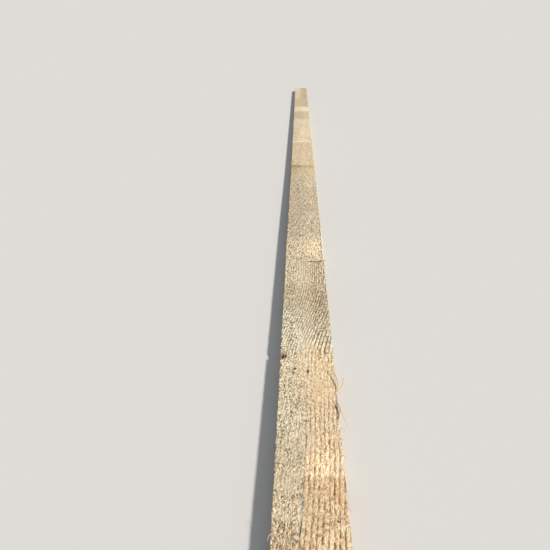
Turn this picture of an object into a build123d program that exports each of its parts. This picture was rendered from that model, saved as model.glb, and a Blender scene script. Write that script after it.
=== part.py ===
# Rough-sawn softwood plank of 32 x 100 mm section and 4 m length, lying on its face
# Frame: origin under the middle of the plank, +Y along the grain, +Z up out of the top face
import os

from build123d import *

# Sawn size of the piece, in millimetres
plank_length = 4000
plank_width = 100
plank_thickness = 32

# The rip saw left the left edge a little: it steps in along this stretch, measured from the near end
wander_start = 950
wander_length = 800
wander_inset = 2.5

# Corners along the grain are blunted by handling
arris_radius = 0.8

# A knot broke out of the left arris
chip_from_end = 474
chip_reach = 10
chip_length = 17
chip_depth = 3
chip_floor_share = 0.55

# Drying checks in the top face: distance from the near end, offset from the middle, slant in degrees,
# then length, width of the mouth and depth
drying_checks = (
    (167, -11.3, 5.7, 50, 1.2, 7),
    (284, -4.1, 3.0, 27, 1.0, 5),
)
check_root_share = 0.5

near_end = -plank_length / 2
far_end = plank_length / 2
left_edge = -plank_width / 2
right_edge = plank_width / 2
narrow_edge = left_edge + wander_inset


def lens_outline(plane, length, width):
    # Mouth or root of a drying check: two flat arcs that meet in sharp tips along the grain
    with BuildSketch(plane) as lens:
        with BuildLine():
            ThreePointArc((0, -length / 2), (width / 2, 0), (0, length / 2))
            ThreePointArc((0, length / 2), (-width / 2, 0), (0, -length / 2))
        make_face()
    return lens.sketch


def bow_outline(plane, length, reach):
    # Mouth or floor of the broken knot: a bow that opens through the edge of the plank
    with BuildSketch(plane) as bow:
        with BuildLine():
            ThreePointArc((0, -length / 2), (reach, 0), (0, length / 2))
            Line((0, length / 2), (0, -length / 2))
        make_face()
    return bow.sketch


with BuildPart() as plank:
    # Plan outline as the rip saw left it, with a straight right edge and a left edge that steps in
    with BuildSketch(Plane.XY):
        with BuildLine():
            step_start = (left_edge, near_end + wander_start)
            step_end = (narrow_edge, near_end + wander_start + wander_length)
            far_cut = ((narrow_edge, far_end), (right_edge, far_end))
            near_cut = ((right_edge, near_end), (left_edge, near_end))
            Polyline(*far_cut, *near_cut)
            Line((left_edge, near_end), step_start)
            Spline(step_start, step_end, tangents=((0, 1), (0, 1)))
            Line(step_end, (narrow_edge, far_end))
        make_face()
    extrude(amount=plank_thickness)

    # Blunted arrises along the grain, with the crosscut ends left sharp
    sawn_faces = faces().filter_by(Axis.Z)
    end_faces = faces().sort_by(Axis.Y)
    crosscut_edges = end_faces[0].edges() + end_faces[-1].edges()
    arrises = sawn_faces.edges() - crosscut_edges
    fillet(arrises, radius=arris_radius)

    # Broken knot in the left arris
    chip_mouth = Plane(origin=(left_edge, near_end + chip_from_end, plank_thickness))
    chip_floor = chip_mouth.offset(-chip_depth)
    floor_length = chip_length * chip_floor_share
    floor_reach = chip_reach * chip_floor_share
    chip_sections = [
        bow_outline(chip_mouth, chip_length, chip_reach),
        bow_outline(chip_floor, floor_length, floor_reach),
    ]
    loft(chip_sections, mode=Mode.SUBTRACT)

    # Drying checks, opened in the top face and narrowing with depth
    for from_end, offset_across, slant, length, mouth, depth in drying_checks:
        grain = Vector(1, 0, 0).rotate(Axis.Z, -slant)
        check_mouth = Plane(origin=(offset_across, near_end + from_end, plank_thickness), x_dir=grain)
        check_root = check_mouth.offset(-depth)
        check_sections = [
            lens_outline(check_mouth, length, mouth),
            lens_outline(check_root, length * check_root_share, mouth * check_root_share),
        ]
        loft(check_sections, mode=Mode.SUBTRACT)

plank.part.label = "plank"
os.makedirs("parts", exist_ok=True)
export_step(plank.part, "parts/plank.step")
print("plank", plank.part.bounding_box().size, "volume", round(plank.part.volume))
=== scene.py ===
import math

import bpy
import numpy as np
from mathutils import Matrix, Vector


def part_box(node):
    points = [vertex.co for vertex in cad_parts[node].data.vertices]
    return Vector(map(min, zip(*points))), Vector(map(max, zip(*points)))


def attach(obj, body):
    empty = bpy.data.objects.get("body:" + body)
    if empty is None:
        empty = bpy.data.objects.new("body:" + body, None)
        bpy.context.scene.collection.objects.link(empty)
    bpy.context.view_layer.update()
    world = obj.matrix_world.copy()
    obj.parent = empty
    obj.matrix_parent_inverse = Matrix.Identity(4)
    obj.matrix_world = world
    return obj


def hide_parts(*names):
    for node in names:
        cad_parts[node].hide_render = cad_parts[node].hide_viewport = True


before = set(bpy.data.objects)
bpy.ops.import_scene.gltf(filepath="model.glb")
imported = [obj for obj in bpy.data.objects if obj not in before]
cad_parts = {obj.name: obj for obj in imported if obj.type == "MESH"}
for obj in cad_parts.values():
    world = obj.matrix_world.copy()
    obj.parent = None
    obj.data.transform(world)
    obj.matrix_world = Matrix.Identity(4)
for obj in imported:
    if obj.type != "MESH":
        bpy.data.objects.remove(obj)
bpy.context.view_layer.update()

lowCorner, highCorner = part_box("plank")
mm = 0.001

# Sizes are in millimetres from here on, and stations are measured from the near end.
plankSize = {
    "width": (highCorner[0] - lowCorner[0]) / mm,
    "length": (highCorner[1] - lowCorner[1]) / mm,
    "thickness": (highCorner[2] - lowCorner[2]) / mm,
    "nearEnd": lowCorner[1] / mm,
    "leftEdge": lowCorner[0] / mm,
    "rightEdge": highCorner[0] / mm,
    "wanderStart": 950,  # the left edge steps in over this stretch
    "wanderLength": 800,
    "wanderInset": 2.5,
    "arris": 0.8,
}

meshDetail = {
    "topColumns": 81,
    "sideColumns": 10,
    "underShare": 4,  # one column underneath for so many on top
    # spacing of the rows at these stations
    "spacedAt": (0, 350, 850, 1600, 2600, 4000),
    "spacing": (1.9, 1.9, 3.7, 7.5, 13, 15),
}
fullTurn = 2 * math.pi
waveCount = 26  # waves that make up each random surface


def smooth(low, high, value):
    t = np.clip((value - low) / (high - low), 0, 1)
    return t * t * (3 - 2 * t)


def stretch(s, start, end, soft):
    return smooth(start - soft, start + soft, s) * (1 - smooth(end - soft, end + soft, s))


def waves(x, s, seed, lengthAcross, lengthAlong):
    # a random surface of unit spread: waves of about the given lengths, running every way
    pick = np.random.default_rng(seed)
    total = 0
    for _ in range(waveCount):
        turn = pick.uniform(0, fullTurn)
        pull = fullTurn * pick.uniform(0.55, 1.45)
        phase = pick.uniform(0, fullTurn)
        run = np.cos(turn) * x / lengthAcross + np.sin(turn) * s / lengthAlong
        total = total + np.cos(pull * run + phase)
    return total * math.sqrt(2 / waveCount)


# The log the plank was sawn from: the path of its pith beside the plank, and its rings
logShape = {
    "pithStations": (-100, 120, 240, 380, 470, 510, 570, 630, 700, 780, 1000, 1500, 2200, 3000, 4100),
    "pithAcross": (-183, -169, -160, -155, -152, -146, -128, -108, -93, -87, -80, -90, -80, -98, -84),
    "pithHeight": (8, 8, 8, 8, 6, 4, -2, -6, -8, -10, -14, -8, -12, -4, -8),
    "wideRing": 7.0,  # spacing of the rings on the far side of the heart line
    "narrowRing": 5.2,  # spacing on the side of the pith
    "heartRing": 152,  # distance of the heart line from the pith
    "heartCount": 60,  # number of the ring that runs there
    "heartStations": (0, 145, 166, 192, 237, 363, 452, 900, 4000),
    "heartAcross": (-16, -14, -11, -8.2, -5.9, -4.8, -11, -20, -10),
}


def pithPath(s, name):
    # the listed path, smoothed by averaging looks along it
    looks = [np.interp(s + step, logShape["pithStations"], logShape[name]) for step in range(-30, 31, 12)]
    return sum(looks) / len(looks)


def ringPhase(x, s, z):
    distance = np.hypot(x - pithPath(s, "pithAcross"), z - pithPath(s, "pithHeight"))
    wander = 0.6 * waves(x, s, 3, 40, 130) + 0.22 * waves(x, s, 4, 16, 30)
    outside = distance + wander - logShape["heartRing"]
    wide = np.maximum(outside, 0) / logShape["wideRing"]
    narrow = np.minimum(outside, 0) / logShape["narrowRing"]
    return logShape["heartCount"] + wide + narrow


def heartShare(x, s):
    # 1 in the warm wood on the right, 0 in the greyer, fuzzier wood on the left
    line = np.interp(s, logShape["heartStations"], logShape["heartAcross"])
    soft = 3 + 12 * smooth(230, 330, s)
    return smooth(-1, 1, (x - line + 0.3 * soft * waves(x, s, 6, 14, 24)) / soft)


# Where the rings show: each row is a stretch of stations and the share that is lost or gained along it
ringStretches = {
    "nearLost": ((185, 215, 0.12), (310, 380, 0.6), (430, 540, 1.0)),
    "slantedLost": ((812, 908, 1.0), (640, 760, 0.35)),
    "farGained": ((820, 880, 0.12), (980, 1100, 0.12)),
    "nearSap": 0.32,  # strength of the straight furrows of the near stretch on the left
    "nearHeart": 0.42,  # added to it in the warm wood
    "slanted": 1.25,  # strength of the furrows that run across the grain
    "slantedStart": 508,
    "slantedLead": 50,  # how much sooner they start on the right
}


def fadedAlong(strength, s, stretches):
    for start, end, lost in stretches:
        strength = strength * (1 - lost * smooth(start, end, s))
    return strength


def ringStrength(x, s):
    near = ringStretches["nearSap"] + ringStretches["nearHeart"] * heartShare(x, s)
    near = fadedAlong(near, s, ringStretches["nearLost"]) * (0.9 + 0.3 * smooth(20, 42, x))
    begin = ringStretches["slantedStart"] - ringStretches["slantedLead"] * smooth(-15, 25, x)
    slanted = ringStretches["slanted"] * smooth(begin - 72, begin + 60, s)
    slanted = fadedAlong(slanted, s, ringStretches["slantedLost"])
    slanted = slanted * (1 - 0.3 * smooth(0, 30, x) * stretch(s, 440, 570, 30))
    slanted = slanted * (1 - 0.55 * smooth(10, -35, x) * smooth(500, 600, s))
    far = sum(gained * smooth(start, end, s) for start, end, gained in ringStretches["farGained"])
    patchy = np.clip(1 + 0.28 * waves(x, s, 7, 40, 90), 0.3, 1.5)
    return np.maximum(np.maximum(near, slanted), far) * patchy


faceMarks = {
    # drying checks: station, offset, slant in degrees, length, mouth, depth, and where they are deepest
    "checks": (
        (167, -11.3, 5.7, 50, 1.4, 5, (157, 183)),
        (284, -4.1, 3.0, 27, 1.0, 4, (275, 293)),
    ),
    "checkRagged": 0.3,
    "checkLip": 0.12,  # kept between the three columns where a check closes
    "deepReach": 5,
    "chipStation": 474,
    "chipReach": 10,
    "chipLength": 17,
    "chipDepth": 3,
}


def rowStations():
    stations, spot = [0.0], 0.0
    while spot < plankSize["length"]:
        spot += float(np.interp(spot, meshDetail["spacedAt"], meshDetail["spacing"]))
        stations.append(spot)
    return np.array(stations) * plankSize["length"] / stations[-1]


def leftEdgeAt(s):
    step = smooth(plankSize["wanderStart"], plankSize["wanderStart"] + plankSize["wanderLength"], s)
    return plankSize["leftEdge"] + plankSize["wanderInset"] * step


def chipDepthAt(x, s):
    # the broken knot: a shallow bowl that runs out through the left edge
    reach = (x - leftEdgeAt(s)) / faceMarks["chipReach"]
    along = (s - faceMarks["chipStation"]) / (faceMarks["chipLength"] / 2)
    inside = np.clip(1 - reach**2 - along**2 + 0.12 * waves(x, s, 31, 5, 6), 0, 1)
    return faceMarks["chipDepth"] * smooth(0, 0.45, inside)


relief = {
    "rest": 0.8,  # mean depth of the rough surface under the nominal face
    "furrow": 0.62,
    "fine": 0.21,
    "medium": 0.12,
    "broad": 0.1,
    "deepest": 2.6,
    # the random seed of each face, and its share of the roughness
    "faces": {"top": (11, 1.0), "under": (61, 0.4), "sides": (81, 0.8)},
    "bites": (-0.2, 0.6, 1.4),  # mean, spread and most of the bites out of the arrises
}


def fibreLift(x, s, seed):
    fine = 0.8 * waves(x, s, seed, 3.3, 5.2) + 0.7 * waves(x, s, seed + 1, 4.6, 9)
    return relief["fine"] * fine + relief["medium"] * waves(x, s, seed + 2, 10, 26)


def knurlShare(x, s):
    # breaks the furrows into dashes
    broken = 0.5 - 0.32 * stretch(s, 480, 700, 40)
    return np.clip(0.85 + broken * (0.9 * waves(x, s, 15, 8, 17) + 0.75 * waves(x, s, 16, 5, 7)), 0, 1.7)


def faceDepth(x, s, z, seed):
    # how far the sawn face lies under its plane
    furrow = (0.5 - 0.5 * np.cos(fullTurn * ringPhase(x, s, z))) ** 1.8
    knurl = knurlShare(x, s)
    rings = relief["furrow"] * ringStrength(x, s) * (furrow * knurl - 0.35)
    broad = relief["broad"] * waves(x, s, seed + 6, 60, 150)
    return np.clip(relief["rest"] + rings + broad - fibreLift(x, s, seed), 0.02, relief["deepest"])


def columnCounts():
    # columns of the mesh on the top, on each side and underneath
    nTop = meshDetail["topColumns"]
    return nTop, meshDetail["sideColumns"], (nTop - 1) // meshDetail["underShare"] + 1


def shares(count):
    return np.arange(count) / (count - 1)


def sectionTemplate():
    # one turn round the section: share across, shift, share up, shift, and the outward direction
    nTop, nSide, nUnder = columnCounts()
    r, part = plankSize["arris"], plankSize["arris"] * 0.3
    points = [(t, r * (1 - 2 * t), 1, 0, 0, 1) for t in shares(nTop)]
    points.append((1, -part, 1, -part, 0.7, 0.7))
    points += [(1, 0, t, r * (1 - 2 * t), 1, 0) for t in 1 - shares(nSide)]
    points.append((1, -part, 0, part, 0.7, -0.7))
    points += [(t, r * (1 - 2 * t), 0, 0, 0, -1) for t in 1 - shares(nUnder)]
    points.append((0, part, 0, part, -0.7, -0.7))
    points += [(0, 0, t, r * (1 - 2 * t), -1, 0) for t in shares(nSide)]
    points.append((0, part, 1, -part, -0.7, 0.7))
    return np.array(points)


def openChecks(x, z, stations):
    # pinch three columns together over each drying check and push the middle one down
    nTop = meshDetail["topColumns"]
    for place, offset, slant, length, mouth, depth, deepest in faceMarks["checks"]:
        for row, station in enumerate(stations):
            share = (station - place) / (length / 2)
            if abs(share) >= 1:
                continue
            gape = 1 - share * share
            ragged = faceMarks["checkRagged"] * float(waves(0, station, 8, 5, 14))
            middle = offset + math.tan(math.radians(slant)) * (station - place) + ragged
            column = int(np.argmin(np.abs(x[row, :nTop] - middle)))
            sunken = max(math.exp(-(((station - spot) / faceMarks["deepReach"]) ** 2)) for spot in deepest)
            z[row, column] -= depth * gape * (0.2 + 0.8 * sunken)
            lip = mouth / 2 * gape + faceMarks["checkLip"]
            x[row, column - 1 : column + 2] = (middle - lip, middle, middle + lip)


def shapePlank():
    template, stations = sectionTemplate(), rowStations()
    across, acrossShift, up, upShift, outX, outZ = template.T
    s = stations[:, None]
    left, right, thick = leftEdgeAt(s), plankSize["rightEdge"], plankSize["thickness"]
    x = left + (right - left) * across + acrossShift
    z = thick * up + upShift + 0 * x
    # the sides are read as if they were folded out beside the top
    unfolded = np.where(np.abs(outZ) > 0.5, x, (thick - z) * np.sign(outX) + x * 3)
    depth = np.zeros_like(x)
    turned = {"top": outZ > 0.5, "under": outZ < -0.5, "sides": np.abs(outZ) < 0.5}
    for name, face in turned.items():
        seed, share = relief["faces"][name]
        depth[:, face] = share * faceDepth(unfolded[:, face], s, z[:, face], seed)
    mean, spread, most = relief["bites"]
    bite = np.clip(mean + spread * waves(x * 0.5, s, 41, 20, 9), 0, most) * (np.abs(outX * outZ) > 0.1)
    chip = np.where(outZ > 0.5, chipDepthAt(x, s), 0)
    chipSide = np.where((outX < -0.5) & (up > 0), chipDepthAt(left + 0 * x, s) * up, 0)
    x = x - outX * (depth + bite)
    z = z - outZ * (depth + bite) - chip - chipSide
    z = np.clip(z, 0, thick)
    openChecks(x, z, stations)
    return x, z, stations


def capFaces(ringStart, gridStart, flip):
    # one crosscut end: a grid as wide as the top and as high as the sides, sewn to the end of the turn
    nTop, nSide, nUnder = columnCounts()
    step = meshDetail["underShare"]
    top = range(ringStart, ringStart + nTop)
    right = range(top[-1] + 2, top[-1] + 2 + nSide)
    under = range(right[-1] + 2, right[-1] + 2 + nUnder)
    left = range(under[-1] + 2, under[-1] + 2 + nSide)
    topRight, lowRight, lowLeft, topLeft = (run[-1] + 1 for run in (top, right, under, left))
    grid = [[gridStart + level * nTop + k for k in range(nTop)] for level in range(nSide)]
    last = nTop - 1
    faces = [(top[last], topRight, right[0], grid[0][last]), (topLeft, top[0], grid[0][0], left[-1])]
    for k in range(last):
        faces.append((top[k], top[k + 1], grid[0][k + 1], grid[0][k]))
        for upper, lower in zip(grid, grid[1:]):
            faces.append((upper[k], upper[k + 1], lower[k + 1], lower[k]))
    for level in range(nSide - 1):
        faces.append((grid[level][last], right[level], right[level + 1], grid[level + 1][last]))
        faces.append((left[-1 - level], grid[level][0], grid[level + 1][0], left[-2 - level]))
    faces.append((grid[-1][last], right[-1], lowRight, under[0]))
    faces.append((left[0], grid[-1][0], under[-1], lowLeft))
    for k in range(nUnder - 1):
        run = grid[-1][step * k : step * k + step + 1]
        near, far = under[-1 - k], under[-2 - k]
        for j in range(step):
            faces.append((run[j], run[j + 1], near if j < step / 2 else far))
        faces.append((run[step // 2], far, near))
    return [tuple(reversed(face)) for face in faces] if flip else faces


# The map that a bake is drawn on: the sides unrolled in strips along the grain, the two ends beside them
bakeMap = {
    "name": "OFBake",
    "pixels": 1024,
    "strips": 4,
    "gap": 6,
    "endColumn": 52,  # width kept for the two ends
    "endLength": 150,
    "turnPixels": (128, 35, 38, 35),  # top, right side, underside and left side of one strip
    "cornerPixels": 1.5,
}


def turnPlaces():
    # where each point of the section lies down a strip, in pixels
    nTop, nSide, nUnder = columnCounts()
    places, spot = [], 0.0
    for count, pixels in zip((nTop, nSide, nUnder, nSide), bakeMap["turnPixels"]):
        places += list(spot + np.linspace(0, pixels, count))
        places.append(spot + pixels + bakeMap["cornerPixels"])
        spot += pixels + 2 * bakeMap["cornerPixels"]
    return np.array([*places, spot])


def layBakeMap(mesh, stations, points, sideFaces):
    down, turn, gap = turnPlaces(), len(sectionTemplate()), bakeMap["gap"]
    strips, pixels = bakeMap["strips"], bakeMap["pixels"]
    length = pixels - 3 * gap - bakeMap["endColumn"]
    bounds = [int(np.argmin(np.abs(stations - stations[-1] * k / strips))) for k in range(strips + 1)]
    spots = []
    for strip, (first, last) in enumerate(zip(bounds, bounds[1:])):
        run = stations[first : last + 1] - stations[first]
        along = gap + length * run / run[-1]
        base = gap / 2 + strip * pixels / strips
        for row in range(last - first):
            near, far = np.full(turn, along[row]), np.full(turn, along[row + 1])
            upper, lower = base + down[:-1], base + down[1:]
            spots.append(np.stack([near, upper, far, upper, far, lower, near, lower], 1).reshape(-1, 2))
    corners = np.zeros(len(mesh.loops), np.int32)
    mesh.loops.foreach_get("vertex_index", corners)
    ends = points[corners[4 * sideFaces :]]
    across = (ends[:, 2] / plankSize["thickness"]) * bakeMap["endColumn"]
    endBase = np.where(ends[:, 1] > 0, 2 * gap + bakeMap["endLength"], gap)
    share = (ends[:, 0] - plankSize["leftEdge"]) / plankSize["width"]
    spots.append(np.stack([2 * gap + length + across, endBase + share * bakeMap["endLength"]], 1))
    spots = np.concatenate(spots) / pixels
    mesh.uv_layers.new(name=bakeMap["name"]).data.foreach_set("uv", spots.astype(np.float32).ravel())


def placed(name, data):
    piece = bpy.data.objects.new(name, data)
    bpy.context.collection.objects.link(piece)
    return piece


def makePlank():
    x, z, stations = shapePlank()
    rows, turn = x.shape
    nTop, nSide, _ = columnCounts()
    y = np.repeat(stations[:, None] + plankSize["nearEnd"], turn, axis=1)
    points = [np.stack([x, y, z], -1).reshape(-1, 3)]
    ring = np.arange(turn)
    faces = []
    for row in range(rows - 1):
        a, b = row * turn + ring, row * turn + np.roll(ring, -1)
        faces += np.stack([a, a + turn, b + turn, b], 1).tolist()
    sideFaces = len(faces)
    for row, inward in ((0, 1), (rows - 1, -1)):
        rightSide = z[row, nTop + 1 : nTop + 1 + nSide]
        height = rightSide[:, None] + 0 * x[row, :nTop]
        gridX = x[row, :nTop] + 0 * height
        furrow = 0.5 - 0.5 * np.cos(fullTurn * ringPhase(gridX, stations[row], height))
        rough = 0.5 + 0.3 * furrow + 0.14 * waves(gridX, height, 51 + row, 5, 5)
        start = sum(len(p) for p in points)
        points.append(np.stack([gridX, y[row, 0] + inward * rough, height], -1).reshape(-1, 3))
        faces += capFaces(row * turn, start, row == 0)
    points = np.concatenate(points)
    mesh = bpy.data.meshes.new("sawnPlank")
    mesh.from_pydata((points * mm).tolist(), [], faces)
    mesh.polygons.foreach_set("use_smooth", [True] * len(mesh.polygons))
    mesh.polygons.foreach_set("material_index", [0] * sideFaces + [1] * (len(faces) - sideFaces))
    px, station, pz = points[:, 0], points[:, 1] - plankSize["nearEnd"], points[:, 2]
    topLift, underLift = (fibreLift(px, station, relief["faces"][name][0]) for name in ("top", "under"))
    lift = np.where(pz > plankSize["thickness"] / 2, topLift, underLift)
    facing = np.zeros(len(points))
    facing[: rows * turn] = np.tile(sectionTemplate()[:, 5] > 0.5, rows)
    readings = {
        "ringPhase": ringPhase(px, station, pz),
        "heartShare": heartShare(px, station),
        "knurlShare": knurlShare(px, station),
        "fibreLift": lift / (relief["fine"] * 1.3),
        "topShare": facing,
        "ringStrength": ringStrength(px, station) * (0.45 + 0.55 * facing),
    }
    for name, values in readings.items():
        mesh.attributes.new(name, "FLOAT", "POINT").data.foreach_set("value", values.astype(np.float32))
    layBakeMap(mesh, stations, points, sideFaces)
    mesh.update()
    print("plank mesh:", len(faces), "faces,", sum(len(face) - 2 for face in faces), "triangles")
    return placed("sawnPlank", mesh)


# Node helpers, where a value may also be the output socket of another node
def isSocket(value):
    return isinstance(value, bpy.types.NodeSocket)


def feed(socket, value):
    if isSocket(value):
        socket.id_data.links.new(value, socket)
    else:
        socket.default_value = value


def fill(node, values):
    for name, value in values.items():
        feed(node.inputs[name], value)


def fillInTurn(node, values):
    for socket, value in zip(node.inputs, values):
        feed(socket, value)


def newNode(kind, *values):
    # a node in the tree of the sockets among its values
    tree = next(value.id_data for value in values if isSocket(value))
    return tree.nodes.new(kind)


def calc(operation, *values, clamp=False):
    node = newNode("ShaderNodeMath", *values)
    node.operation, node.use_clamp = operation, clamp
    fillInTurn(node, values)
    return node.outputs[0]


def times(first, second):
    return calc("MULTIPLY", first, second)


def timesPlus(first, second, added):
    return calc("MULTIPLY_ADD", first, second, added)


def minus(first, second):
    return calc("SUBTRACT", first, second)


def calcVector(operation, *values):
    node = newNode("ShaderNodeVectorMath", *values)
    node.operation = operation
    fillInTurn(node, values)
    return node.outputs[0]


def scaled(vector, across, along):
    return calcVector("MULTIPLY", vector, (across, along, across))


def remap(value, low, high, toLow=0.0, toHigh=1.0):
    node = newNode("ShaderNodeMapRange", value)
    node.interpolation_type = "SMOOTHSTEP"
    fill(node, {"Value": value, "From Min": low, "From Max": high, "To Min": toLow, "To Max": toHigh})
    return node.outputs["Result"]


def tint(mask, base, over, mode="MIX"):
    node = newNode("ShaderNodeMix", mask)
    node.data_type, node.blend_type = "RGBA", mode
    feed(node.inputs[0], mask)
    for number, colour in ((6, base), (7, over)):
        feed(node.inputs[number], colour if isSocket(colour) else (*colour, 1))
    return node.outputs[2]


def noise(vector, detail, roughness=0.55, distortion=0.0):
    node = newNode("ShaderNodeTexNoise", vector)
    fill(node, {"Vector": vector, "Scale": 1.0, "Detail": detail})
    fill(node, {"Roughness": roughness, "Distortion": distortion})
    return node.outputs["Fac"]


def flecks(vector):
    # one random shade for each small cell, from -1 to 1
    node = newNode("ShaderNodeTexVoronoi", vector)
    fill(node, {"Vector": vector, "Scale": 1.0})
    shade = newNode("ShaderNodeSeparateColor", vector)
    feed(shade.inputs[0], node.outputs["Color"])
    return timesPlus(shade.outputs[0], 2.0, -1.0)


def split(vector):
    node = newNode("ShaderNodeSeparateXYZ", vector)
    feed(node.inputs[0], vector)
    return node.outputs


def reading(tree, name):
    node = tree.nodes.new("ShaderNodeAttribute")
    node.attribute_name = name
    return node.outputs["Fac"]


def newGroup(name, inputs, outputs):
    group = bpy.data.node_groups.new(name, "ShaderNodeTree")
    for label in inputs:
        kind = "NodeSocketVector" if label == "Vector" else "NodeSocketFloat"
        group.interface.new_socket(label, in_out="INPUT", socket_type=kind)
    for label in outputs:
        group.interface.new_socket(label, in_out="OUTPUT", socket_type="NodeSocketFloat")
    return group, group.nodes.new("NodeGroupInput").outputs, group.nodes.new("NodeGroupOutput").inputs


def use(group, values):
    node = newNode("ShaderNodeGroup", *values.values())
    node.node_tree = group
    fill(node, values)
    return node.outputs


def growthRingGroup():
    # Ring lines from a ring count: a soft furrow and a thin late-wood line
    group, given, out = newGroup("growthRings", ["Phase"], ["Furrow", "Late Wood"])
    turn = calc("FRACT", given["Phase"])
    wave = calc("COSINE", times(given["Phase"], fullTurn))
    furrow = calc("POWER", timesPlus(wave, -0.5, 0.5), 3.8)
    late = times(remap(turn, 0.25, 0.72), remap(turn, 0.8, 0.72))
    feed(out["Furrow"], furrow)
    feed(out["Late Wood"], late)
    return group


# Torn fibres: how often each pattern repeats across and along the grain, for each mm
fibrePatterns = {
    # soft patterns, with their detail
    "Fine": (0.6, 0.36, 1.5),
    "Medium": (0.2, 0.075, 3.0),
    "Broad": (0.045, 0.011, 3.0),
    "Hue": (0.24, 0.13, 2.0),
    "Strokes": (0.5, 0.16, 0.6),
    # long strands, and how far in mm they pull the ends of the flecks along
    "Strands": (1.5, 0.09, 2.0),
    "strandPull": 1.5,
    # crisp flecks of three sizes, and how far in mm their rims are moved about
    "Flecks": (1.05, 0.45),
    "Tufts": (0.68, 0.26),
    "Clumps": (0.42, 0.12),
    "rimMoves": (1.6, 2.6, 1.6),
}


def aroundZero(speck):
    return times(minus(speck, 0.5), 4.0)


def sawnFibreGroup():
    # Torn fibres of a rough-sawn face, each output around zero: crisp flecks, strands and softer drifts
    soft, crisp = ("Fine", "Medium", "Broad", "Hue", "Strokes"), ("Flecks", "Tufts", "Clumps")
    group, given, out = newGroup("sawnFibres", ["Vector", "Curl"], [*crisp, "Strands", *soft])
    for name in soft:
        across, along, detail = fibrePatterns[name]
        speck = noise(scaled(given["Vector"], across, along), detail, 0.6, given["Curl"])
        feed(out[name], aroundZero(speck))
    ragged = group.nodes.new("ShaderNodeTexNoise")
    fill(ragged, {"Vector": scaled(given["Vector"], 0.8, 0.5), "Scale": 1.0})
    moves = ragged.outputs["Color"]
    moved = calcVector("MULTIPLY_ADD", moves, fibrePatterns["rimMoves"], given["Vector"])
    # neighbouring strands are torn off at different places, which frays the ends of each fleck
    across, along, detail = fibrePatterns["Strands"]
    strand = aroundZero(noise(scaled(given["Vector"], across, along), detail, 0.6, 0.3))
    feed(out["Strands"], strand)
    slide = group.nodes.new("ShaderNodeCombineXYZ")
    feed(slide.inputs["Y"], times(strand, fibrePatterns["strandPull"]))
    frayed = calcVector("ADD", moved, slide.outputs[0])
    for name in crisp:
        feed(out[name], flecks(scaled(frayed, *fibrePatterns[name])))
    return group


def crossBandGroup():
    # A mark across the plank between two stations, such as a pale strip
    labels = ["Along", "From", "To", "Softness", "Side", "Left Share", "Right Share"]
    group, given, out = newGroup("crossBand", labels, ["Mask"])
    inside = 1.0
    for edge, before in (("From", 0.0), ("To", 1.0)):
        low = minus(given[edge], given["Softness"])
        high = calc("ADD", given[edge], given["Softness"])
        inside = times(inside, remap(given["Along"], low, high, before, 1.0 - before))
    spread = minus(given["Right Share"], given["Left Share"])
    share = timesPlus(given["Side"], spread, given["Left Share"])
    feed(out["Mask"], times(inside, share))
    return group


def facePatchGroup():
    # A soft oval patch with a ragged rim, which may lean across the grain
    labels = ["Vector", "Across", "Along", "Lean", "Reach Across", "Reach Along", "Softness", "Ragged"]
    group, given, out = newGroup("facePatch", labels, ["Mask"])
    parts = split(given["Vector"])
    station = minus(parts[1], plankSize["nearEnd"])
    offAlong = minus(station, given["Along"])
    offAcross = minus(parts[0], given["Across"])
    offAcross = minus(offAcross, times(offAlong, given["Lean"]))
    dx = calc("DIVIDE", offAcross, given["Reach Across"])
    dy = calc("DIVIDE", offAlong, given["Reach Along"])
    away = calc("SQRT", timesPlus(dx, dx, times(dy, dy)))
    rough = noise(scaled(given["Vector"], 0.4, 0.25), 3.0)
    away = timesPlus(minus(rough, 0.5), given["Ragged"], away)
    inner = minus(1.0, given["Softness"])
    outer = calc("ADD", 1.0, given["Softness"])
    feed(out["Mask"], remap(away, inner, outer, 1.0, 0.0))
    return group


rings, fibres, band, patch = growthRingGroup(), sawnFibreGroup(), crossBandGroup(), facePatchGroup()

woodTones = {
    "sap": (0.498, 0.411, 0.282),
    "heart": (0.582, 0.448, 0.288),
    "furrow": (0.41, 0.305, 0.225),  # multiplies the wood it lies on: dirt held in the ring furrows and painted shade of the hollows
    "late": (0.70, 0.58, 0.46),
    "dirtAndShade": (0.205, 0.185, 0.16),
    "warmDirtAndShade": (0.27, 0.175, 0.11),  # the dirt and painted shade of the warm wood
    # paler raised fibres, with a painted highlight on the high parts of the relief
    "liftedAndLit": (1.62, 1.69, 1.75),
    "endWood": (0.36, 0.257, 0.156),
    "endRing": (0.17, 0.105, 0.055),
}

# What the weather left on the face; each tone multiplies the wood under it
weathering = {
    "damp": (0.93, 0.86, 0.80),
    "bleached": (1.22, 1.25, 1.25),
    "grimy": (0.79, 0.78, 0.78),
    "creamy": (1.13, 1.09, 1.03),
    "peach": (1.06, 0.96, 0.87),
    "silvered": (1.05, 1.16, 1.27),
    "rosy": (1.14, 0.92, 0.85),
    "mossy": (0.87, 1.01, 1.0),
    "chalky": (1.4, 1.45, 1.5),
    "umber": (0.58, 0.465, 0.36),
}

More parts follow.
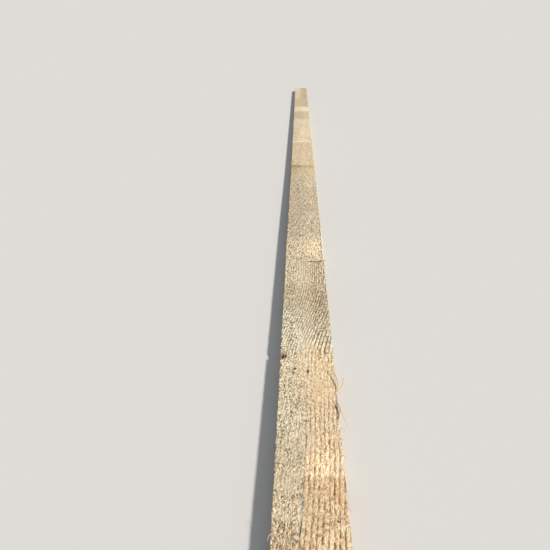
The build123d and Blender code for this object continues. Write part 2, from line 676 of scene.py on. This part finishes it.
weatherBands = (
    # from, to, softness, tone, share on the left, share on the right
    (-300, 229, 3, "damp", 0.45, 0.35),
    (-300, 150, 14, "damp", 0.8, 0),
    (-300, 158, 10, "bleached", 0, 0.35),
    (160, 190, 8, "bleached", 0.4, 0),
    (190, 229, 8, "peach", 0, 0.5),
    (227, 234, 1.5, "chalky", 0.3, 0.8),
    (227, 234, 1.5, "creamy", 0, 0.8),
    (232, 264, 6, "creamy", 0.2, 1),
    (232, 264, 6, "chalky", 0, 0.38),
    (264, 300, 8, "creamy", 0, 0.7),
    (300, 346, 12, "silvered", 0.55, 0.3),
    (300, 346, 12, "bleached", 0.15, 0.1),
    (344, 400, 12, "creamy", 0, 0.25),
    (440, 515, 20, "bleached", 0.35, 0.2),
    (400, 700, 40, "bleached", 0.08, 0.15),
    (490, 640, 26, "silvered", 0.8, 0.75),
    (560, 730, 30, "grimy", 0.1, 0.7),
    (560, 690, 25, "peach", 0, 0.6),
    (730, 860, 25, "grimy", 0, 0.1),
    (625, 728, 18, "grimy", 0.75, 0.1),
    (856, 972, 12, "creamy", 0, 1),
    (856, 972, 12, "grimy", 0.25, 0),
    (856, 972, 12, "bleached", 0, 0.25),
    (900, 1060, 20, "bleached", 0, 0.35),
    (975, 1575, 40, "grimy", 1, 0.5),
    (1400, 1585, 50, "bleached", 0.25, 0.45),
    (1580, 1668, 8, "peach", 0.9, 0.8),
    (1580, 1668, 8, "bleached", 0.1, 0.2),
    (1580, 1668, 8, "grimy", 0.95, 0.1),
    (1665, 1699, 8, "umber", 1, 0.3),
    (1702, 2105, 20, "creamy", 0.05, 0.75),
    (1702, 2105, 40, "damp", 0.3, 0),
    (2100, 2122, 4, "chalky", 0.75, 0.85),
    (2122, 2185, 8, "bleached", 0.2, 0.95),
    (2200, 2665, 25, "bleached", 0.35, 0.85),
    (2690, 2905, 45, "grimy", 0.7, 0.15),
    (2690, 3090, 45, "damp", 0.4, 0.1),
    (3100, 3470, 25, "damp", 0.45, 0.1),
    (2925, 3085, 12, "chalky", 0.5, 0.9),
    (3100, 3470, 25, "grimy", 0.1, 0.75),
    (3470, 4300, 25, "bleached", 0.25, 0),
    (3470, 4300, 25, "grimy", 0, 0.9),
    (3470, 4300, 25, "damp", 0, 0.35),
)

# Small marks on the top face: tones that lie over the wood
markTones = {
    "paleWood": (0.62, 0.52, 0.38),
    "warmWood": (0.68, 0.46, 0.28),
    "smudge": (0.27, 0.225, 0.175),
    "greyStain": (0.345, 0.345, 0.29),
    # painted shade: near-black inside the drying checks
    "slit": (0.06, 0.057, 0.05),
    "brownSpeck": (0.075, 0.045, 0.025),
    "redSpeck": (0.12, 0.035, 0.02),
    "knotRust": (0.24, 0.12, 0.07),
    "knotBark": (0.06, 0.025, 0.015),
    "knotHeart": (0.52, 0.36, 0.27),
    "resin": (0.515, 0.31, 0.125),
}

faceSpots = (
    # across, along, lean, reach across, reach along, softness, ragged, strength, tone
    (-2, 665, -0.04, 11, 130, 0.8, 0.6, 0.3, "paleWood"),
    (2, 800, 0, 18, 60, 0.8, 0.6, 0.25, "paleWood"),
    (1, 524, 0, 13, 32, 0.8, 0.6, 0.3, "paleWood"),
    (-20, 720, 0, 8, 100, 0.8, 0.6, 0.2, "paleWood"),
    (2, 284, 0, 11, 24, 0.8, 0.6, 0.5, "paleWood"),
    (2, 284, 0, 9, 20, 0.8, 0.6, 0.12, "warmWood"),
    (-20, 208, 0, 8, 15, 0.8, 0.6, 0.2, "paleWood"),
    (10, 366, 0, 18, 22, 0.8, 0.6, 0.13, "smudge"),
    (-42, 208, 0, 9, 15, 0.8, 0.6, 0.07, "smudge"),
    (42, 330, 0, 9, 70, 0.8, 0.6, 0.2, "paleWood"),
    (-21, 281, 0, 9, 20, 0.8, 0.6, 0.3, "paleWood"),
    (-41, 283, 0, 11, 23, 0.8, 0.8, 0.25, "smudge"),
    (45, 207, 0, 8, 22, 0.8, 0.6, 0.45, "warmWood"),
    (46, 590, 0, 5, 40, 0.8, 0.6, 0.12, "resin"),
    (41, 622, 0, 10, 60, 0.8, 0.6, 0.2, "smudge"),
    (42, 466, 0, 9, 28, 0.8, 0.6, 0.06, "smudge"),
    (1, 158, 0, 9, 30, 0.8, 0.6, 0.06, "smudge"),
    (0, 490, 0, 10, 60, 0.8, 0.6, 0.25, "paleWood"),
    (42, 246, 0, 8, 12, 0.8, 0.6, 0.45, "paleWood"),
    (18, 230.5, 0, 44, 3.6, 0.35, 0.3, 0.3, "paleWood"),
    (-34, 212, -0.3, 12, 9, 0.7, 0.9, 0.5, "paleWood"),
    (-30, 251, 0.3, 14, 10, 0.8, 0.9, 0.35, "smudge"),
    (-14, 248, 0, 3, 12, 0.8, 0.9, 0.4, "smudge"),
    (-36, 230, 0.3, 9, 7, 0.8, 0.9, 0.3, "smudge"),
    (-12.2, 168, 0.1, 1.6, 30, 0.5, 0.5, 0.6, "greyStain"),
    (-10.6, 188, 0.1, 2.2, 16, 0.6, 0.7, 0.4, "greyStain"),
    (-18, 228, 0, 13, 7, 0.8, 0.8, 0.45, "paleWood"),
    (-4.3, 284, 0.05, 1.0, 15, 0.5, 0.6, 0.25, "greyStain"),
    # near-black lines along the two drying checks: painted shade inside the cracks
    (-10.4, 183, 0.1, 0.6, 6, 0.4, 0.4, 0.7, "slit"),
    (-13.0, 150, 0.1, 0.9, 9, 0.4, 0.4, 0.9, "slit"),
    (-4.6, 276, 0.05, 0.6, 5, 0.4, 0.5, 0.55, "slit"),
    (-3.7, 293, 0.05, 0.6, 5, 0.4, 0.5, 0.45, "slit"),
    (-21.9, 441, 0.3, 2.7, 3.6, 0.3, 0.6, 0.95, "brownSpeck"),
    (1.5, 435, 0, 2.3, 5.2, 0.3, 0.5, 0.95, "brownSpeck"),
    (-25.4, 431, 0, 1.6, 3.2, 0.4, 0.6, 0.85, "brownSpeck"),
    (-46.5, 427, 0, 1.4, 3.0, 0.4, 0.8, 0.7, "brownSpeck"),
    (-25.9, 341, 0, 1.2, 2.4, 0.4, 0.8, 0.7, "redSpeck"),
    (35.3, 164, -0.3, 1.9, 1.8, 0.3, 0.5, 0.9, "redSpeck"),
    (-2.5, 897, 0, 1.8, 4.5, 0.4, 0.8, 0.6, "brownSpeck"),
    (5.6, 669, 0, 2.0, 4.0, 0.4, 0.8, 0.7, "brownSpeck"),
    (41.8, 893, 1.2, 1.2, 7, 0.4, 0.6, 0.5, "brownSpeck"),
    (36, 753, 0.8, 1.2, 6, 0.4, 0.6, 0.6, "brownSpeck"),
    (43, 1678, 0, 9, 16, 0.6, 0.5, 0.8, "resin"),
    (47, 1770, 0, 4, 60, 0.6, 0.8, 0.4, "resin"),
    (45, 1630, 0, 3, 25, 0.5, 0.8, 0.4, "resin"),
    (-43, 1530, 0, 6, 70, 0.6, 0.8, 0.45, "resin"),
    (-2, 1330, 0.01, 5, 90, 0.8, 0.9, 0.4, "greyStain"),
    (-14, 1150, 0.05, 9, 60, 0.8, 0.9, 0.3, "greyStain"),
    (14, 1090, -0.05, 8, 40, 0.8, 0.9, 0.3, "greyStain"),
    (-8, 2790, 0, 22, 75, 0.8, 0.6, 0.3, "greyStain"),
    (-44.5, 477, 0, 4.8, 9, 0.5, 0.8, 0.85, "knotRust"),
    (-45.0, 475.5, 0.1, 2.9, 5, 0.35, 0.7, 0.95, "knotBark"),
    (-39.2, 474, -0.1, 1.6, 4.4, 0.35, 0.6, 0.95, "knotBark"),
    (-41.8, 471, 0, 1.5, 2.6, 0.4, 0.5, 0.8, "knotHeart"),
)

woodFinish = {
    "face": (0.85, 0.25),  # roughness and specular level
    "end": (0.9, 0.5),
    "bump": {"Strength": 0.8, "Distance": 0.0004},
}

# How much a pattern counts along the plank: stretches of from, to, share before and share after
patternShares = {
    "flecks": ((200, 300, 1.2, 1.4),),
    "moreFlecks": ((470, 600, 0, 0.85),),
    "strokes": ((200, 290, 0, 0.2), (480, 620, 1, 0.4)),
    "tufts": ((210, 320, 0.3, 0.35),),
    "clumps": ((600, 800, 0, 0.6),),
    "crisp": ((780, 1250, 1, 0.08),),  # all of the above together
    "strands": ((800, 1250, 1, 0.35),),
    "medium": ((850, 1150, 0.45, 1.05), (1450, 1800, 1, 0.45)),
    "heart": ((460, 570, 1, 0),),
    "calm": ((330, 370, 0.3, 0.36), (430, 480, 1, 0.3)),
    "blush": ((200, 330, 0.22, 0.05),),
    "drift": ((1200, 1800, 0.4, 1),),
}


def newMaterial(name, roughness, specular):
    material = bpy.data.materials.new(name)
    material.use_nodes = True
    shader = material.node_tree.nodes["Principled BSDF"]
    fill(shader, {"Roughness": roughness, "Specular IOR Level": specular})
    return material, material.node_tree, shader


def placeInMm(tree):
    coordinates = tree.nodes.new("ShaderNodeTexCoord").outputs["Object"]
    return scaled(coordinates, 1 / mm, 1 / mm)


def sawnWoodMaterial():
    material, tree, shader = newMaterial("sawnSoftwood", *woodFinish["face"])
    place = placeInMm(tree)
    parts = split(place)
    along = minus(parts[1], plankSize["nearEnd"])
    side = remap(parts[0], -26.0, 26.0)
    lift, strength = reading(tree, "fibreLift"), reading(tree, "ringStrength")
    ring = use(rings, {"Phase": reading(tree, "ringPhase")})
    fibre = use(fibres, {"Vector": place, "Curl": 0.5})

    def shareOf(name):
        share = 1.0
        for start, end, before, after in patternShares[name]:
            share = times(share, remap(along, start, end, before, after))
        return share

    heart = times(reading(tree, "heartShare"), shareOf("heart"))
    base = tint(heart, woodTones["sap"], woodTones["heart"])
    wavering = timesPlus(fibre["Medium"], 5.0, along)
    for start, end, soft, tone, left, right in weatherBands:
        edges = {"Along": wavering, "From": start, "To": end, "Softness": soft}
        mask = use(band, {**edges, "Side": side, "Left Share": left, "Right Share": right})["Mask"]
        base = tint(mask, base, weathering[tone], "MULTIPLY")

    late = times(ring["Late Wood"], times(strength, 0.5))
    base = tint(late, base, woodTones["late"], "MULTIPLY")
    # the ring furrows are darkened where the face is sunk: dirt held in them and painted shade of the
    # hollows
    furrow = times(ring["Furrow"], strength)
    furrow = times(furrow, reading(tree, "knurlShare"))
    furrow = calc("MULTIPLY", furrow, 1.15, clamp=True)
    base = tint(furrow, base, woodTones["furrow"], "MULTIPLY")

    # the flecks are strongest on the top and past the near end, and the sides are streaked instead
    top = reading(tree, "topShare")
    calm = minus(1.0, times(heart, shareOf("calm")))
    crisp = times(fibre["Flecks"], shareOf("flecks"))
    mixed = (("Flecks", "moreFlecks"), ("Strokes", "strokes"), ("Tufts", "tufts"), ("Clumps", "clumps"))
    for pattern, name in mixed:
        crisp = timesPlus(fibre[pattern], shareOf(name), crisp)
    crisp = times(crisp, timesPlus(top, 0.7, 0.3))
    # the lift of the relief is mixed into the grain, so the tones below also paint its shade and highlight
    grain = timesPlus(fibre["Fine"], 0.3, times(lift, 0.3))
    streaky = times(timesPlus(top, -0.15, 0.7), shareOf("strands"))
    grain = timesPlus(fibre["Strands"], streaky, grain)
    grain = timesPlus(crisp, shareOf("crisp"), grain)
    grain = timesPlus(fibre["Medium"], shareOf("medium"), grain)
    # dark where the grain and the relief are low, pale where they are high: random fibre tone, with painted
    # shade in the low places and painted highlight on the raised fibres
    soilAndShade = tint(heart, woodTones["dirtAndShade"], woodTones["warmDirtAndShade"])
    for sign, tone in ((-1, soilAndShade), (1, woodTones["liftedAndLit"])):
        mask = times(remap(grain, 0.1 * sign, 1.2 * sign), calm)
        base = tint(mask, base, tone, "MULTIPLY")
    blush = timesPlus(heart, shareOf("blush"), 0.3)
    for sign, tone in ((1, "rosy"), (-1, "mossy")):
        mask = times(remap(fibre["Hue"], 0.05 * sign, 0.8 * sign), blush)
        base = tint(mask, base, weathering[tone], "MULTIPLY")
    drift = shareOf("drift")
    for sign, tone in ((-1, "grimy"), (1, "creamy")):
        mask = remap(fibre["Broad"], 0.1 * sign, 0.8 * sign, 0.0, drift)
        base = tint(mask, base, weathering[tone], "MULTIPLY")

    upper = remap(parts[2], plankSize["thickness"] - 9, plankSize["thickness"] - 4)
    labels = ("Across", "Along", "Lean", "Reach Across", "Reach Along", "Softness", "Ragged")
    for *measures, share, tone in faceSpots:
        mask = use(patch, {"Vector": place, **dict(zip(labels, measures))})["Mask"]
        mask = times(mask, times(upper, share))
        base = tint(mask, base, markTones[tone])

    height = fibre["Fine"]
    for pattern, share in (("Flecks", 0.35), ("Medium", 0.6), ("Strands", 0.5)):
        height = timesPlus(fibre[pattern], share, height)
    bump = tree.nodes.new("ShaderNodeBump")
    fill(bump, {**woodFinish["bump"], "Height": height})
    fill(shader, {"Base Color": base, "Normal": bump.outputs[0]})
    return material


def endGrainMaterial():
    material, tree, shader = newMaterial("crosscutEndGrain", *woodFinish["end"])
    ring = use(rings, {"Phase": reading(tree, "ringPhase")})
    pores = noise(scaled(placeInMm(tree), 0.9, 0.9), 3.0)
    late = times(ring["Late Wood"], 0.75)
    base = tint(late, woodTones["endWood"], woodTones["endRing"])
    base = tint(remap(pores, 0.55, 0.3, 0.0, 0.6), base, woodTones["dirtAndShade"], "MULTIPLY")
    feed(shader.inputs["Base Color"], base)
    return material


# Pieces
plank = makePlank()
plank.data.materials.append(sawnWoodMaterial())
plank.data.materials.append(endGrainMaterial())
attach(plank, "root")
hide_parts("plank")
print("plank dressed")


def plainMaterial(name, shade, roughness, specular=0.3):
    material, _, shader = newMaterial(name, roughness, specular)
    feed(shader.inputs["Base Color"], (*shade, 1))
    return material


fuzz = {
    # stations from and to, shares of the width from and to, square mm of face for each fibre, size
    "patches": (
        (0, 290, 0, 0.46, 10, 1.0),
        (290, 520, 0, 0.5, 26, 0.75),
        (0, 290, 0.46, 1, 36, 0.85),
        (290, 520, 0.5, 1, 50, 0.7),
        (198, 224, 0.05, 0.3, 3, 1.1),
        (520, 900, 0, 1, 17, 1.0),
        (900, 1700, 0, 1, 42, 1.1),
        (1700, 4000, 0, 1, 95, 1.15),
    ),
    "length": (3.0, 8.0),
    "radius": (0.2, 0.48),
    "lift": (0.1, 1.1),
    "turn": 34,  # spread of the headings off the grain, in degrees
    "bend": 0.35,
    "seed": 77,
    "margin": 0.6,  # kept free along both edges
    "rooted": 0.25,  # depth of the roots under the face
    "tones": {
        # shade, and share of the fibres that have it
        "paleFibre": ((0.72, 0.66, 0.51), 0.5),
        "strawFibre": ((0.60, 0.48, 0.31), 0.32),
        "greyFibre": ((0.26, 0.21, 0.15), 0.18),
    },
}
# a spindle of eight points: its root, two rings of three and its tip
spindleFaces = (
    (4, 5, 2, 1), (5, 6, 3, 2), (6, 4, 1, 3),
    (1, 2, 0), (2, 3, 0), (3, 1, 0),
    (7, 5, 4), (7, 6, 5), (7, 4, 6),
)


def topHeight(x, s):
    z = np.full_like(x, plankSize["thickness"])
    return z - faceDepth(x, s, z, relief["faces"]["top"][0]) - chipDepthAt(x, s)


def raisedFibres():
    # torn fibres standing in the rough face: thin spindles rooted just under the surface
    pick = np.random.default_rng(fuzz["seed"])
    lots = []
    for start, end, fromShare, toShare, areaEach, size in fuzz["patches"]:
        count = int((end - start) * plankSize["width"] * (toShare - fromShare) / areaEach)
        s = pick.uniform(start + 2, end - 2, count)
        share = pick.uniform(fromShare, toShare, count)
        left, right = leftEdgeAt(s) + fuzz["margin"], plankSize["rightEdge"] - fuzz["margin"]
        lots.append((left + share * (right - left), s, np.full(count, size)))
    x, s, size = (np.concatenate(column) for column in zip(*lots))
    count = len(x)
    heading = np.radians(pick.normal(0, fuzz["turn"], count)) + np.pi * (pick.random(count) < 0.5)
    length = size * pick.uniform(*fuzz["length"], count) * pick.uniform(0.6, 1, count)
    radius = size * pick.uniform(*fuzz["radius"], count)
    lift = pick.uniform(*fuzz["lift"], count) ** 1.3 * size
    bend = pick.normal(0, fuzz["bend"], count)
    root = topHeight(x, s)
    centres = []
    for t in (0.0, 0.3, 0.7, 1.0):
        side = bend * length * (t - t * t) * 2
        px = x + np.sin(heading) * length * t + np.cos(heading) * side
        py = s + np.cos(heading) * length * t - np.sin(heading) * side
        margin = fuzz["margin"] / 2
        inside = np.clip(px, leftEdgeAt(py) + margin, plankSize["rightEdge"] - margin)
        py = np.clip(py, 1, plankSize["length"] - 1)
        floor = np.minimum(root, topHeight(inside, py)) if t > 0 else root
        centres.append(np.stack([inside, py, floor - fuzz["rooted"] + (lift + 0.35) * t**0.8], -1))
    across = np.stack([np.cos(heading), -np.sin(heading), 0 * heading], -1)
    points = np.zeros((count, 8, 3))
    points[:, 0], points[:, 7] = centres[0], centres[3]
    for ringNumber, first, middle in ((0, 1, centres[1]), (1, 4, centres[2])):
        for k in range(3):
            angle = math.radians(90 + 120 * k)
            girth = (radius * (1 - 0.3 * ringNumber))[:, None]
            rim = math.cos(angle) * across + math.sin(angle) * np.array([0, 0, 0.8])
            points[:, first + k] = middle + girth * rim
    points = points.reshape(-1, 3) + np.array([0, plankSize["nearEnd"], 0])
    faces = [tuple(8 * n + corner for corner in face) for n in range(count) for face in spindleFaces]
    mesh = bpy.data.meshes.new("raisedFibres")
    mesh.from_pydata((points * mm).tolist(), [], faces)
    shades, chances = zip(*fuzz["tones"].values())
    tone = pick.choice(len(shades), count, p=chances)
    mesh.polygons.foreach_set("material_index", np.repeat(tone, len(spindleFaces)).tolist())
    for name, shade in zip(fuzz["tones"], shades):
        mesh.materials.append(plainMaterial(name, shade, 0.8))
    print("raised fibres:", count, "with", 12 * count, "triangles")
    return placed("raisedFibres", mesh)


splinter = {
    "sides": 6,
    "flatness": 0.6,  # height of the section over its width
    "taper": 0.18,  # share of the length that runs out to the tip
    "tip": 0.12,
    "strandSpread": 0.75,
    "finishes": {
        "goldenFibre": ((0.55, 0.35, 0.13), 0.6),
        "paleSplinter": ((0.54, 0.43, 0.31), 0.7),
        "frayedArris": ((0.76, 0.65, 0.47), 0.8),
        "woodSliver": ((0.42, 0.33, 0.21), 0.8),
    },
}


def tubePoints(path, thick, thin):
    # a smooth path through the given points, with its radius at each step
    path = np.array(path, float)
    padded = np.vstack([2 * path[0] - path[1], path, 2 * path[-1] - path[-2]])
    line = []
    for a, b, c, d in zip(padded, padded[1:], padded[2:], padded[3:]):
        for t in np.arange(0, 1, 0.2):
            curve = 2 * b + (c - a) * t + (2 * a - 5 * b + 4 * c - d) * t**2 + (3 * b - a - 3 * c + d) * t**3
            line.append(0.5 * curve)
    line.append(path[-1])
    run = np.linspace(0, 1, len(line))
    taper = np.interp(run, (1 - splinter["taper"], 1), (1, splinter["tip"]))
    return np.array(line), (thick + (thin - thick) * run) * taper


def frayedStrands(path, thick, thin, finish, count, seed):
    # a lifted sliver of the arris: thin strands that run side by side and let go at different places
    pick = np.random.default_rng(seed)
    path = np.array(path, float)
    strands = []
    for _ in range(count):
        first = int(pick.integers(0, 3))
        last = len(path) - int(pick.integers(0, 3))
        wander = pick.normal(0, splinter["strandSpread"], (last - first, 3)) * (1, 3, 0.5)
        wander[0], wander[-1] = (0, 0, -0.8), (pick.normal(0, 0.8), 0, pick.uniform(-0.4, 0.5))
        radii = [radius * pick.uniform(0.6, 1) for radius in (thick, thin)]
        strands.append((path[first:last] + wander, *radii, finish))
    return tuple(strands)


def buildTubes(name, tubes, looks):
    points, faces, finishes = [], [], []
    sides = splinter["sides"]
    for path, thick, thin, finish in tubes:
        line, radii = tubePoints(path, thick, thin)
        start, total = len(points), len(line)
        heading = np.gradient(line, axis=0)
        for centre, way, radius in zip(line, heading, radii):
            way = Vector(way).normalized()
            first = way.cross(Vector((0, 0, 1))).normalized()
            second = first.cross(way)
            for k in range(sides):
                angle = fullTurn * k / sides
                reach = math.cos(angle) * first + splinter["flatness"] * math.sin(angle) * second
                points.append(Vector(centre) + float(radius) * reach)
        end = start + (total - 1) * sides
        fresh = [tuple(start + k for k in range(sides)), tuple(end + k for k in reversed(range(sides)))]
        for row in range(total - 1):
            for k in range(sides):
                a, b = start + row * sides + k, start + row * sides + (k + 1) % sides
                fresh.append((a, a + sides, b + sides, b))
        faces += fresh
        finishes += [finish] * len(fresh)
    shift = Vector((0, plankSize["nearEnd"], plankSize["thickness"]))
    mesh = bpy.data.meshes.new(name)
    mesh.from_pydata([tuple((point + shift) * mm) for point in points], [], faces)
    mesh.polygons.foreach_set("material_index", finishes)
    for polygon in mesh.polygons:
        polygon.use_smooth = len(polygon.vertices) == 4
    for label, look in looks.items():
        mesh.materials.append(plainMaterial(label, *look))
    return placed(name, mesh)


# Fibres torn out of the arrises: across, station and height over the face for each point of the path,
# then the radius at both ends and the number of the finish
goldenPath = (
    (48.4, 388, -1), (52.8, 390, 1.4), (57, 393.5, 3.4), (60.2, 399, 6), (61.5, 406, 8.6), (61.6, 413, 10.2),
)
edgeFibres = (
    (goldenPath, 1.3, 0.6, 0),
    (((48, 389, -1.4), (51.6, 397, 3.4), (51.4, 407, 7), (47.4, 420, 9.4), (41.5, 435, 10.4)), 1.5, 0.6, 3),
    (((48.2, 388, -1.2), (53.5, 385, 0.4), (57.5, 380, 0.8)), 0.75, 0.3, 1),
    (((48.2, 367, -1.4), (51.5, 352, 1.6), (54.8, 337, 2), (58.6, 323, 0.8), (62, 311, -1.2)), 1.2, 0.45, 1),
    (((54.6, 338, 1.8), (58.4, 340, 3.6), (62, 345, 5.8)), 0.7, 0.3, 1),
    (((48.2, 362, -1.2), (47.6, 354, 2.6), (50.4, 345, 4.8), (53.5, 338, 5.2)), 0.9, 0.4, 1),
    (((48.2, 313, -1.2), (54.5, 308, 0.6), (58.5, 302, 0.2)), 0.85, 0.35, 1),
    (((48.2, 291, -1.2), (52.6, 288, 0.8), (56.4, 286, 1)), 0.75, 0.3, 1),
    (((48.2, 263, -1.2), (51.8, 259, 0.5), (53.6, 256, 0.4)), 0.6, 0.25, 1),
    (((48.2, 182, -1.2), (52.2, 178, 0.6), (53.2, 173, 1.4)), 0.5, 0.2, 1),
    (((-48.2, 146, -1.2), (-51.8, 141, 0.5), (-53, 134, 0.2)), 0.5, 0.2, 1),
    (((48.4, 330, -1), (50.2, 338, 2.4), (51, 346, 4.4), (50.4, 354, 5.6)), 1.2, 0.8, 1),
    (((48.4, 326, -1), (51.4, 335, 2.4), (52.8, 343, 4.6), (52.4, 351, 6)), 1.1, 0.7, 1),
)

# The frayed stretch of the right-hand arris, as the middle line of its strands
frayedArris = (
    (47.6, 860, -0.9), (48.9, 874, 0.5), (48.2, 893, 0.9), (49.5, 915, 0.6), (48.7, 938, 1.1),
    (49.7, 962, 0.6), (48.5, 985, 0.9), (49.4, 1012, 0.6), (48.6, 1038, 0.5), (47.6, 1062, -0.7),
)

# A near-black needle laid across the face as a stand-in for a thin cast shadow line, and a pale straw that
# lies on the face
shadowLineNeedle = (
    (5, 842.5, -0.4), (14, 844, 0.3), (25, 843.5, 0.1), (36, 843.5, 0.4), (47, 846.5, 0.8), (56, 850.5, 0.3),
)
lyingStraw = ((11, 1084, -0.5), (17, 1110, 0.7), (25, 1146, 0.4), (39, 1197, -0.5))
# the needle's near-black finish stands in for a thin cast shadow line: painted shadow
dryFinishes = {"needleForShadowLine": ((0.085, 0.075, 0.055), 0.8), "dryStraw": ((0.84, 0.75, 0.55), 0.7)}

looseStrands = frayedStrands(frayedArris, thick=0.62, thin=0.5, finish=2, count=9, seed=21)
smallPieces = (
    raisedFibres(),
    buildTubes("edgeSplinters", edgeFibres + looseStrands, splinter["finishes"]),
    buildTubes("needleForShadowLine", ((shadowLineNeedle, 1.0, 1.3, 0), (lyingStraw, 1.0, 0.7, 1)), dryFinishes),
)
for piece in smallPieces:
    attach(piece, "root")
print("fibres and needle placed")

stage = {"reach": 60.0, "sides": 96, "shade": (0.484, 0.476, 0.464)}


def makeStage():
    # one plain round floor that runs out to the horizon
    points, faces, sides = [(0, 0, 0)], [], stage["sides"]
    for radius in (stage["reach"] / 10, stage["reach"]):
        for k in range(sides):
            angle = fullTurn * k / sides
            points.append((radius * math.cos(angle), radius * math.sin(angle), 0))
    for k in range(sides):
        a, b = 1 + k, 1 + (k + 1) % sides
        faces += [(0, a, b), (a, a + sides, b + sides, b)]
    mesh = bpy.data.meshes.new("studioFloor")
    mesh.from_pydata(points, [], faces)
    mesh.materials.append(plainMaterial("palePaper", stage["shade"], 1.0, 0.0))
    floor = placed("studioFloor", mesh)


makeStage()

lights = {
    "sunToward": (-0.534, 0.607, -0.588),
    "sunStrength": 5.64,
    "sunAngle": 4.5,  # its width in degrees, which softens the shadows
    "sunPlace": (3, -3, 4),
    "sunTint": (1.0, 0.955, 0.88),
    "skyTint": (0.86, 0.92, 1.0),
    "skyStrength": 0.54,
}


def makeLights():
    sun = bpy.data.lights.new("keyLight", "SUN")
    sun.energy, sun.color = lights["sunStrength"], lights["sunTint"]
    sun.angle = math.radians(lights["sunAngle"])
    lamp = placed("keyLight", sun)
    lamp.rotation_euler = Vector(lights["sunToward"]).to_track_quat("-Z", "Y").to_euler()
    lamp.location = lights["sunPlace"]
    world = bpy.data.worlds.new("softRoom")
    world.use_nodes = True
    tree = world.node_tree
    sky = tree.nodes["Background"]
    fill(sky, {"Color": (*lights["skyTint"], 1), "Strength": lights["skyStrength"]})
    # past the rim of the floor the camera sees the shade of the lit floor
    sunShare = -lights["sunToward"][2] * lights["sunStrength"] / math.pi
    tints = zip(stage["shade"], lights["sunTint"], lights["skyTint"])
    lit = [shade * (sunShare * warm + lights["skyStrength"] * cool) for shade, warm, cool in tints]
    backdrop = tree.nodes.new("ShaderNodeBackground")
    feed(backdrop.inputs["Color"], (*lit, 1))
    seen = tree.nodes.new("ShaderNodeMixShader")
    cameraRay = tree.nodes.new("ShaderNodeLightPath").outputs["Is Camera Ray"]
    fillInTurn(seen, (cameraRay, sky.outputs[0], backdrop.outputs[0]))
    feed(tree.nodes["World Output"].inputs["Surface"], seen.outputs[0])
    bpy.context.scene.world = world


makeLights()

# The photograph's view: a phone lens held over the plank, looking down along it
view = {
    "lens": 28.8,
    "sensor": 36,
    "height": 551,  # over the face
    "pitchDown": 30.58,
    "turnLeft": 2.69,
    "across": -29.9,
    "behindNearEnd": 160,
    "nearest": 0.02,  # in metres
    "furthest": 100,
}


def makeCamera():
    camera = bpy.data.cameras.new("photoView")
    camera.lens, camera.sensor_width = view["lens"], view["sensor"]
    camera.clip_start, camera.clip_end = view["nearest"], view["furthest"]
    seat = placed("photoView", camera)
    seat.location = (
        view["across"] * mm,
        (plankSize["nearEnd"] - view["behindNearEnd"]) * mm,
        (plankSize["thickness"] + view["height"]) * mm,
    )
    seat.rotation_euler = (math.radians(90 - view["pitchDown"]), 0, math.radians(view["turnLeft"]))
    bpy.context.scene.camera = seat


makeCamera()
bpy.context.scene.view_settings.view_transform = "Standard"
print("camera and lights ready")
